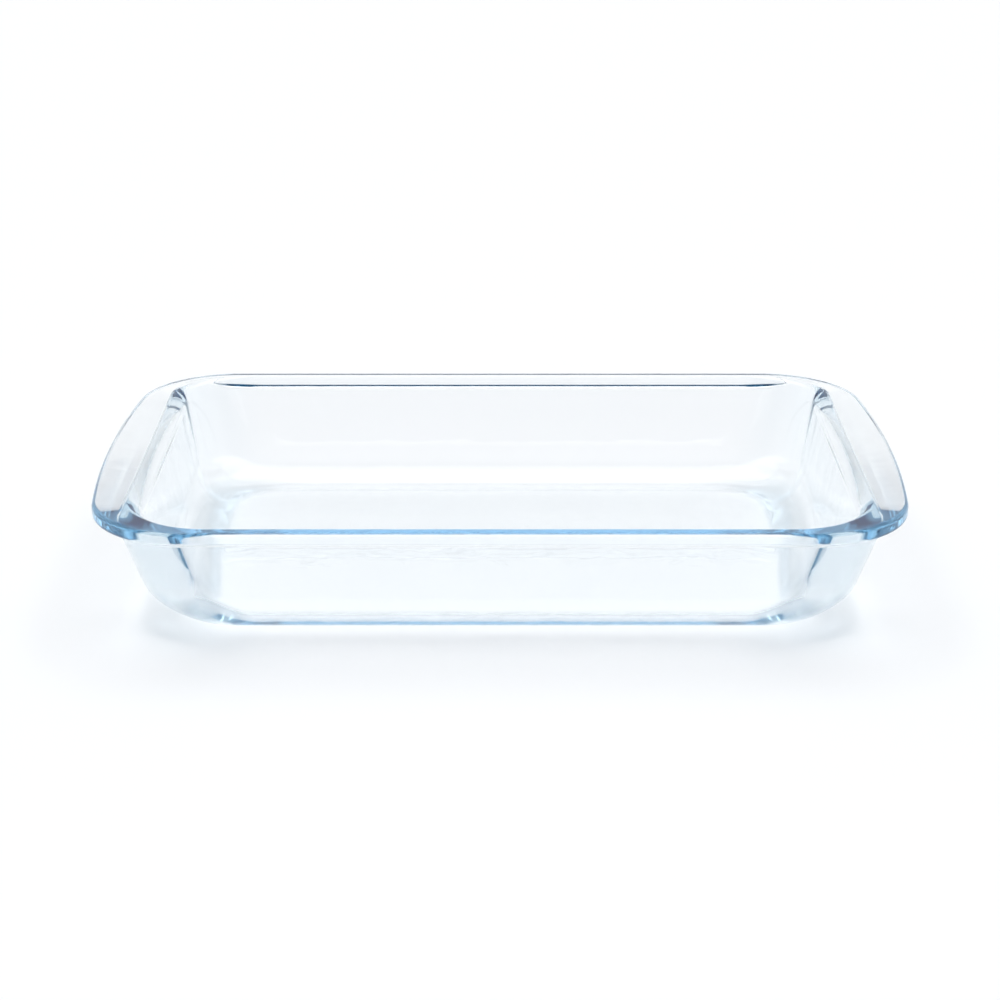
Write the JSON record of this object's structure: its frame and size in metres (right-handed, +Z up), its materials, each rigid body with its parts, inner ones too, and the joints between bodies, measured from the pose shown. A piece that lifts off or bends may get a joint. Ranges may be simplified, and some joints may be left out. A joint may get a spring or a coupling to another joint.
{
  "type": "rectangular baking dish",
  "caption": "Shallow rectangular baking dish of clear pressed glass with sloping walls and a wide grip flange at each end.",
  "frame": {"origin": "centre of the foot, on the surface that the dish stands on", "axes": "+X along the dish towards one grip, +Y across it, +Z up out of the open top"},
  "size_m": [0.354, 0.226, 0.053],
  "materials": {
    "clear_glass": "polished clear glass with a faint blue tint in its thick edges"
  },
  "bodies": {
    "root": {"glass_dish": "clear_glass"}
  },
  "joints": []
}
